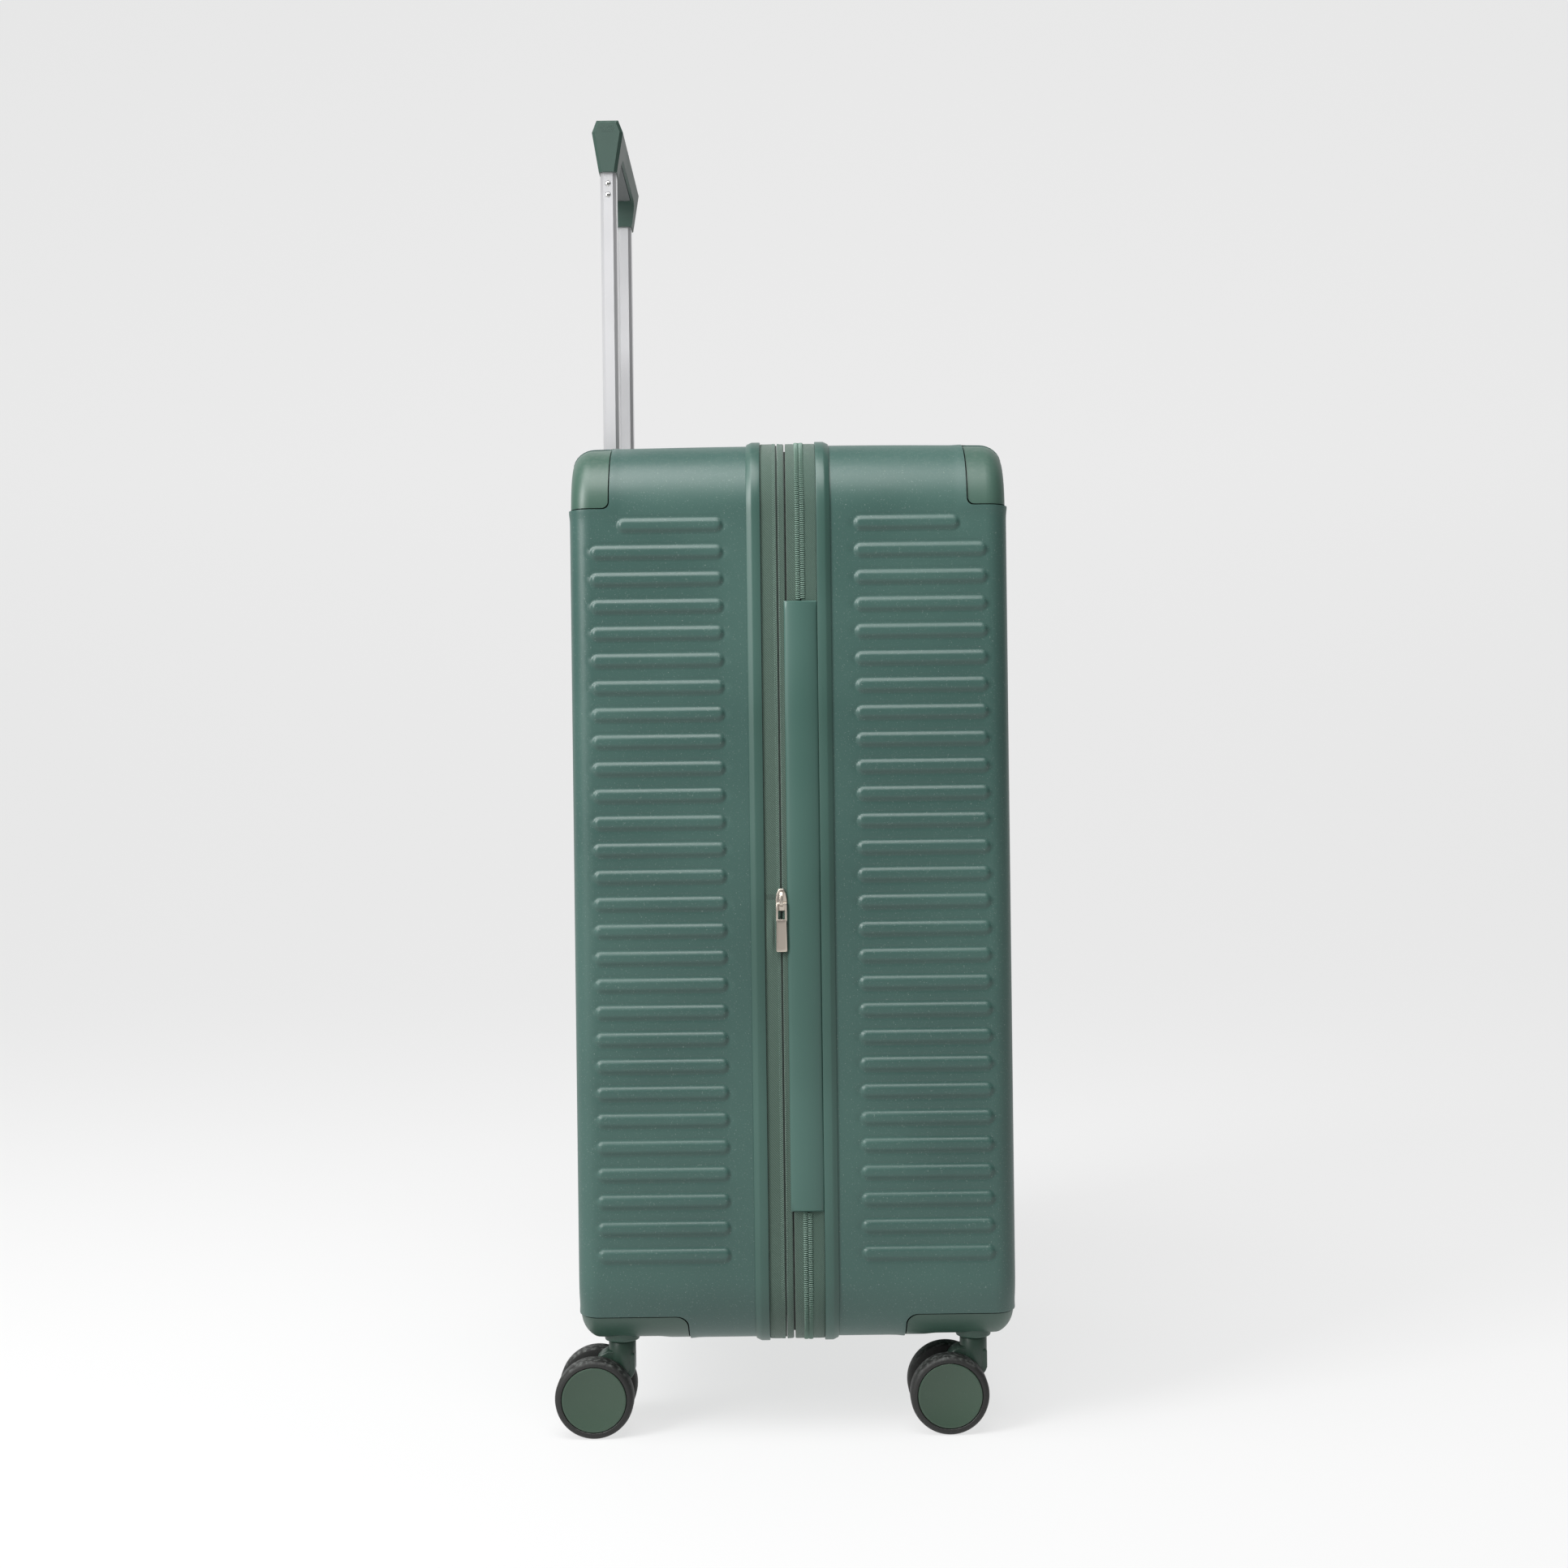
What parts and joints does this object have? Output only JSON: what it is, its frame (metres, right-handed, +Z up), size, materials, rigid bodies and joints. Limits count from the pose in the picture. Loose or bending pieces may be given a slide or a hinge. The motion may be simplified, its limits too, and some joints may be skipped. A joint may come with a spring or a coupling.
{
  "type": "suitcase",
  "caption": "Hard shell zipped suitcase on swivelling twin-wheel casters, with a telescoping handle, an expansion zip, flush carry handles and a dial lock.",
  "frame": {"origin": "on the floor under the middle of the whole object's box", "axes": "+Z up; +X to the lid side, -X to the side with the telescoping handle; -Y the hinge side, +Y the lock side"},
  "size_m": [0.3512, 0.5166, 1.048],
  "materials": {
    "shell": "fine satin grain, deep grey-green",
    "guard": "smooth satin, grey-green",
    "rail": "satin, grey-green",
    "housing": "moulded satin, grey-green",
    "fork": "moulded matt, dark grey-green",
    "hub": "moulded matt, grey-green",
    "tyre": "matt black polyurethane",
    "steel": "plain steel",
    "tube": "bright polished aluminium",
    "grip": "soft-touch, dark grey-green",
    "fitting": "moulded matt, dark grey-green",
    "inner_plastic": "black moulded plastic",
    "tape": "woven zip tape",
    "strip": "smooth satin strip",
    "zip_metal": "satin plated metal",
    "lining": "smooth polyester lining",
    "strap": "woven webbing",
    "dial": "moulded number wheel"
  },
  "bodies": {
    "case": {"back_shell": "shell", "back_rail": "rail", "back_corner_guards": "guard", "back_wheel_housings": "housing", "handle_sleeves": "tube", "handle_bezel": "fitting", "handle_foot": "inner_plastic", "expansion_zip_tape": "tape", "expansion_gusset": "tape", "handle_cups": "fitting", "back_lining": "lining", "packing_straps": "strap", "strap_buckles": "inner_plastic"},
    "trolley": {"handle_tubes": "tube", "handle_grip": "grip", "grip_liner": "fitting", "grip_screws": "steel", "tube_end_blocks": "inner_plastic"},
    "release": {"release_button": "fitting", "push_rods": "steel"},
    "pins": {"lock_pins": "steel"},
    "expander": {"expander_band": "tape", "hinge_strip": "strip"},
    "lid": {"front_shell": "shell", "front_rail": "rail", "front_corner_guards": "guard", "front_wheel_housings": "housing", "lid_zip_tape": "tape", "lock_housing": "fitting", "front_lining": "lining"},
    "expansion_slider": {"expansion_zip_slider": "zip_metal"},
    "expansion_pull": {"expansion_zip_pull": "zip_metal"},
    "upper_slider": {"upper_zip_slider": "zip_metal"},
    "upper_pull": {"upper_zip_pull": "zip_metal"},
    "lower_slider": {"lower_zip_slider": "zip_metal"},
    "lower_pull": {"lower_zip_pull": "zip_metal"},
    "top_handle": {"top_carry_handle": "grip"},
    "side_handle": {"side_carry_handle": "grip"},
    "dial_1": {"lock_dial_1": "dial"},
    "dial_2": {"lock_dial_2": "dial"},
    "dial_3": {"lock_dial_3": "dial"},
    "opening_slide": {"lock_slide": "fitting"},
    "caster_back_left": {"caster_fork_back_left": "fork"},
    "wheels_back_left": {"caster_axle_back_left": "steel", "caster_hubs_back_left": "hub", "caster_tyres_back_left": "tyre"},
    "caster_back_right": {"caster_fork_back_right": "fork"},
    "wheels_back_right": {"caster_axle_back_right": "steel", "caster_hubs_back_right": "hub", "caster_tyres_back_right": "tyre"},
    "caster_front_left": {"caster_fork_front_left": "fork"},
    "wheels_front_left": {"caster_axle_front_left": "steel", "caster_hubs_front_left": "hub", "caster_tyres_front_left": "tyre"},
    "caster_front_right": {"caster_fork_front_right": "fork"},
    "wheels_front_right": {"caster_axle_front_right": "steel", "caster_hubs_front_right": "hub", "caster_tyres_front_right": "tyre"}
  },
  "joints": [
    {"name": "trolley_slide", "type": "slide", "parent": "case", "child": "trolley", "axis": [0, 0, 1], "range_m": [-0.29, 0]},
    {"name": "release_press", "type": "slide", "parent": "trolley", "child": "release", "axis": [0, 0, -1], "range_m": [0, 0.006], "stiffness_N_per_m": 600, "springref_m": -0.005},
    {"name": "pin_retract", "type": "slide", "parent": "trolley", "child": "pins", "axis": [-1, 0, 0], "range_m": [0, 0.0028]},
    {"name": "expansion_slide", "type": "slide", "parent": "case", "child": "expander", "axis": [1, 0, 0], "range_m": [0, 0.04], "deforming": ["expansion_gusset"]},
    {"name": "lid_hinge", "type": "hinge", "parent": "expander", "child": "lid", "pos_m": [0.0179, -0.2582, 0.4125], "axis": [0, 0, -1], "range_deg": [0, 180], "deforming": ["hinge_strip"]},
    {"name": "expansion_zip_run", "type": "slide", "parent": "case", "child": "expansion_slider", "axis": [0, 0, 1], "range_m": [-0.23, 0.23]},
    {"name": "expansion_pull_flip", "type": "hinge", "parent": "expansion_slider", "child": "expansion_pull", "pos_m": [0.0009, -0.2562, 0.4056], "axis": [-1, 0, 0], "range_deg": [0, 175]},
    {"name": "upper_zip_run", "type": "slide", "parent": "expander", "child": "upper_slider", "axis": [0, 0, 1], "range_m": [0, 0.23]},
    {"name": "upper_pull_flip", "type": "hinge", "parent": "upper_slider", "child": "upper_pull", "pos_m": [0.0179, 0.2562, 0.4376], "axis": [1, 0, 0], "range_deg": [0, 175]},
    {"name": "lower_zip_run", "type": "slide", "parent": "expander", "child": "lower_slider", "axis": [0, 0, 1], "range_m": [-0.23, 0]},
    {"name": "lower_pull_flip", "type": "hinge", "parent": "lower_slider", "child": "lower_pull", "pos_m": [0.0179, 0.2562, 0.3816], "axis": [1, 0, 0], "range_deg": [0, 175]},
    {"name": "top_handle_lift", "type": "slide", "parent": "case", "child": "top_handle", "axis": [0, 0, 1], "range_m": [0, 0.012]},
    {"name": "side_handle_lift", "type": "slide", "parent": "case", "child": "side_handle", "axis": [0, 1, 0], "range_m": [0, 0.012], "stiffness_N_per_m": 80, "springref_m": -0.004},
    {"name": "opening_press", "type": "slide", "parent": "lid", "child": "opening_slide", "axis": [0, 0, 1], "range_m": [0, 0.005], "stiffness_N_per_m": 120, "springref_m": -0.003},
    {"name": "dial_1_turn", "type": "hinge", "parent": "lid", "child": "dial_1", "pos_m": [0.0594, 0.2453, 0.3885], "axis": [0, 0, 1], "continuous": true},
    {"name": "dial_2_turn", "type": "hinge", "parent": "lid", "child": "dial_2", "pos_m": [0.0594, 0.2453, 0.3975], "axis": [0, 0, 1], "continuous": true},
    {"name": "dial_3_turn", "type": "hinge", "parent": "lid", "child": "dial_3", "pos_m": [0.0594, 0.2453, 0.4065], "axis": [0, 0, 1], "continuous": true},
    {"name": "swivel_back_left", "type": "hinge", "parent": "case", "child": "caster_back_left", "pos_m": [-0.1256, -0.21, 0.064], "axis": [0, 0, 1], "continuous": true},
    {"name": "roll_back_left", "type": "hinge", "parent": "caster_back_left", "child": "wheels_back_left", "pos_m": [-0.1456, -0.21, 0.03], "axis": [0, 1, 0], "continuous": true},
    {"name": "swivel_back_right", "type": "hinge", "parent": "case", "child": "caster_back_right", "pos_m": [-0.1256, 0.21, 0.064], "axis": [0, 0, 1], "continuous": true},
    {"name": "roll_back_right", "type": "hinge", "parent": "caster_back_right", "child": "wheels_back_right", "pos_m": [-0.1456, 0.21, 0.03], "axis": [0, 1, 0], "continuous": true},
    {"name": "swivel_front_left", "type": "hinge", "parent": "lid", "child": "caster_front_left", "pos_m": [0.1444, -0.21, 0.064], "axis": [0, 0, 1], "continuous": true},
    {"name": "roll_front_left", "type": "hinge", "parent": "caster_front_left", "child": "wheels_front_left", "pos_m": [0.1244, -0.21, 0.03], "axis": [0, 1, 0], "continuous": true},
    {"name": "swivel_front_right", "type": "hinge", "parent": "lid", "child": "caster_front_right", "pos_m": [0.1444, 0.21, 0.064], "axis": [0, 0, 1], "continuous": true},
    {"name": "roll_front_right", "type": "hinge", "parent": "caster_front_right", "child": "wheels_front_right", "pos_m": [0.1244, 0.21, 0.03], "axis": [0, 1, 0], "continuous": true}
  ],
  "couplings": [
    {"joint": "pin_retract", "follows": "release_press", "ratio": 0.4666}
  ]
}
